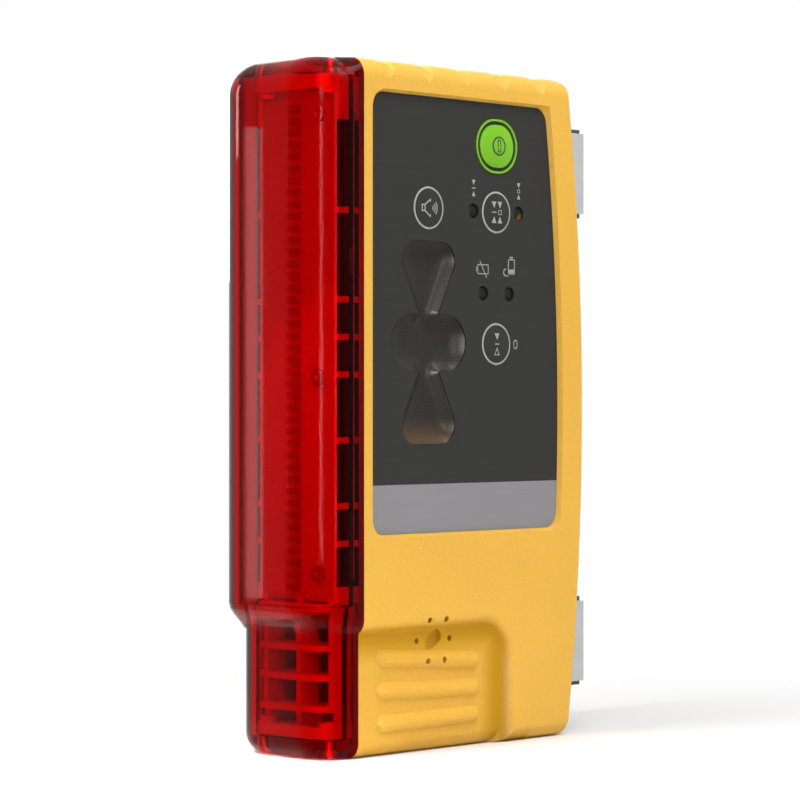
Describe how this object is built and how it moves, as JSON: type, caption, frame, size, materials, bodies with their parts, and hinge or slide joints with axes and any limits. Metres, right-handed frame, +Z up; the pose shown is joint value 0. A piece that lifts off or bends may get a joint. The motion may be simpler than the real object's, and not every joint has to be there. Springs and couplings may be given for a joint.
{
  "type": "laser receiver",
  "caption": "Machine-mounted laser receiver with a tall red lens nose, a keypad face with an hourglass display, a rear battery bay behind a hinged door and channel magnets on its bowed end.",
  "frame": {"origin": "centre of the bounding box at the base", "axes": "+Z up along the height, -X out of the lens nose, -Y out of the keypad face"},
  "size_m": [0.107, 0.04, 0.18],
  "materials": {
    "shell": "fine moulded texture, warm yellow",
    "lens": "clear deep red, polished",
    "seal": "soft black",
    "fastener": "plated steel",
    "frame_moulding": "off-white moulding",
    "sensor_board": "pale board with lacquer",
    "photodiode": "dark clear epoxy",
    "panel": "dark grey film with fine grain",
    "band": "mid grey film",
    "display": "smoked clear",
    "power_key": "green, softly shiny",
    "key": "dark grey silicone",
    "main_board": "green lacquered board",
    "component": "black housing",
    "led": "milky cap",
    "lamp": "tinted clear",
    "tray": "black moulding",
    "cell": "plain grey jacket",
    "contact": "nickel plated",
    "latch": "black moulding",
    "channel": "zinc plated",
    "ferrite": "dark ground ferrite"
  },
  "bodies": {
    "housing": {"front_shell": "shell", "rear_shell": "shell", "shell_seal": "seal", "shell_screws": "fastener", "lens": "lens", "lens_seal": "seal", "lens_screws": "fastener", "receiver_frame": "frame_moulding", "frame_screws": "fastener", "receiver_board": "sensor_board", "photodiodes": "photodiode", "board_screws": "fastener", "keypad_panel": "panel", "panel_band": "band", "display_window": "display", "power_key_bezel": "power_key", "main_board": "main_board", "board_fixings": "fastener", "key_switches": "component", "display_leds": "led", "status_leds": "lamp", "buzzer": "component", "battery_tray": "tray", "battery_cells": "cell", "battery_contacts": "contact", "door_hinge_pin": "fastener", "magnet_channels": "channel", "ferrite_bars": "ferrite", "magnet_screws": "fastener"},
    "power_key": {"power_key": "power_key"},
    "volume_key": {"volume_key": "key"},
    "precision_key": {"precision_key": "key"},
    "zero_key": {"zero_key": "key"},
    "battery_door": {"battery_door": "shell", "door_seal": "seal"},
    "door_latch": {"door_latch": "latch"}
  },
  "joints": [
    {"name": "power_key_press", "type": "slide", "parent": "housing", "child": "power_key", "axis": [0, 1, 0], "range_m": [0, 0.0006], "stiffness_N_per_m": 900},
    {"name": "volume_key_press", "type": "slide", "parent": "housing", "child": "volume_key", "axis": [0, 1, 0], "range_m": [0, 0.0006], "stiffness_N_per_m": 900},
    {"name": "precision_key_press", "type": "slide", "parent": "housing", "child": "precision_key", "axis": [0, 1, 0], "range_m": [0, 0.0006], "stiffness_N_per_m": 900},
    {"name": "zero_key_press", "type": "slide", "parent": "housing", "child": "zero_key", "axis": [0, 1, 0], "range_m": [0, 0.0006], "stiffness_N_per_m": 900},
    {"name": "battery_door_swing", "type": "hinge", "parent": "housing", "child": "battery_door", "pos_m": [0, 0.0185, 0.1195], "axis": [1, 0, 0], "range_deg": [0, 95]},
    {"name": "door_latch_turn", "type": "hinge", "parent": "battery_door", "child": "door_latch", "pos_m": [0.0035, 0.0185, 0.055], "axis": [0, 1, 0], "range_deg": [0, 90]}
  ]
}
